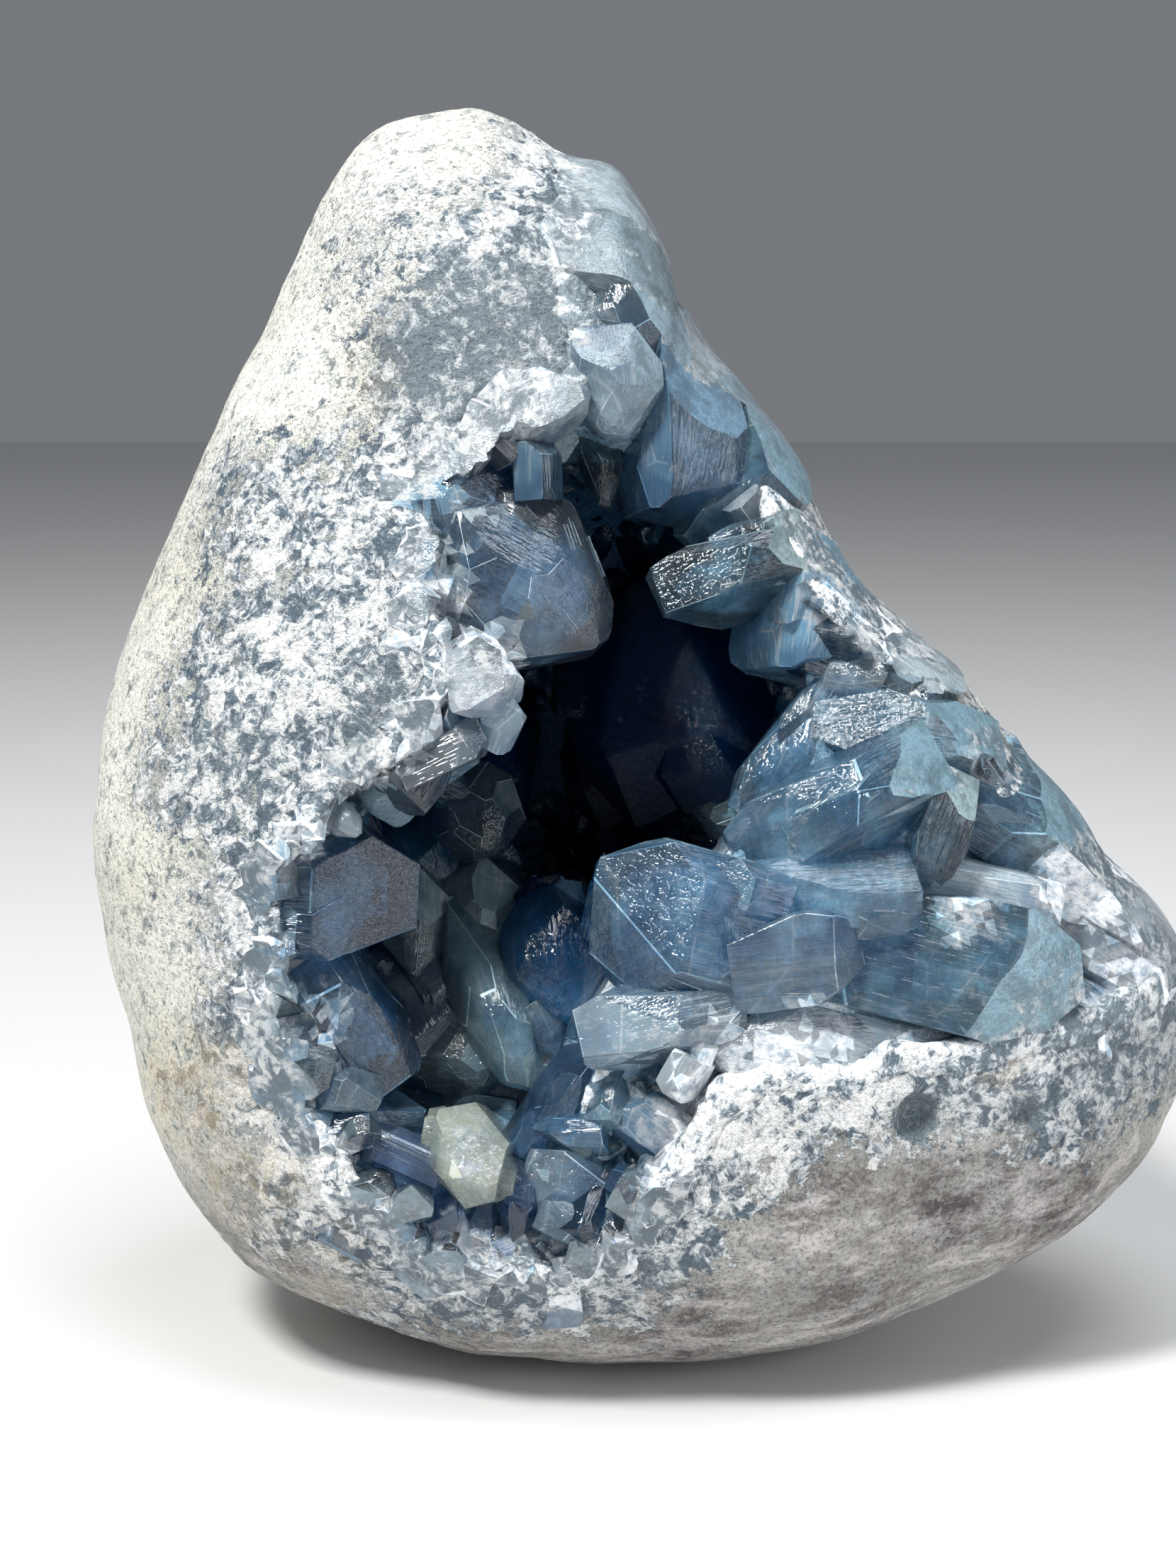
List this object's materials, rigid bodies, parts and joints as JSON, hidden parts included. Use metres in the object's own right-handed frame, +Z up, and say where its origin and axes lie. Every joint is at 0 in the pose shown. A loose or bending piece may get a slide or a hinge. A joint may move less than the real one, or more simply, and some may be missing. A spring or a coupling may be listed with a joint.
{
  "type": "celestite geode",
  "caption": "Palm-sized celestite geode: a ground limestone pear that stands on a small flat spot, its front opening on a hollow lined with pale blue crystals.",
  "frame": {"origin": "middle of the small flat spot that the stone rests on", "axes": "+Z up, +X to the right of a viewer who looks into the hollow, +Y from that viewer through the stone to its closed back, so the hollow opens towards -Y"},
  "size_m": [0.109, 0.0715, 0.1213],
  "materials": {
    "limestone": "matt, ground smooth and fine grained, cream to grey, with a mottled frosted band round the mouth",
    "celestite": "glassy, steel blue to pale grey blue, clear in places and frosted white in others"
  },
  "bodies": {
    "root": {"stone_shell": "limestone", "crystal_crust": "celestite"}
  },
  "joints": []
}
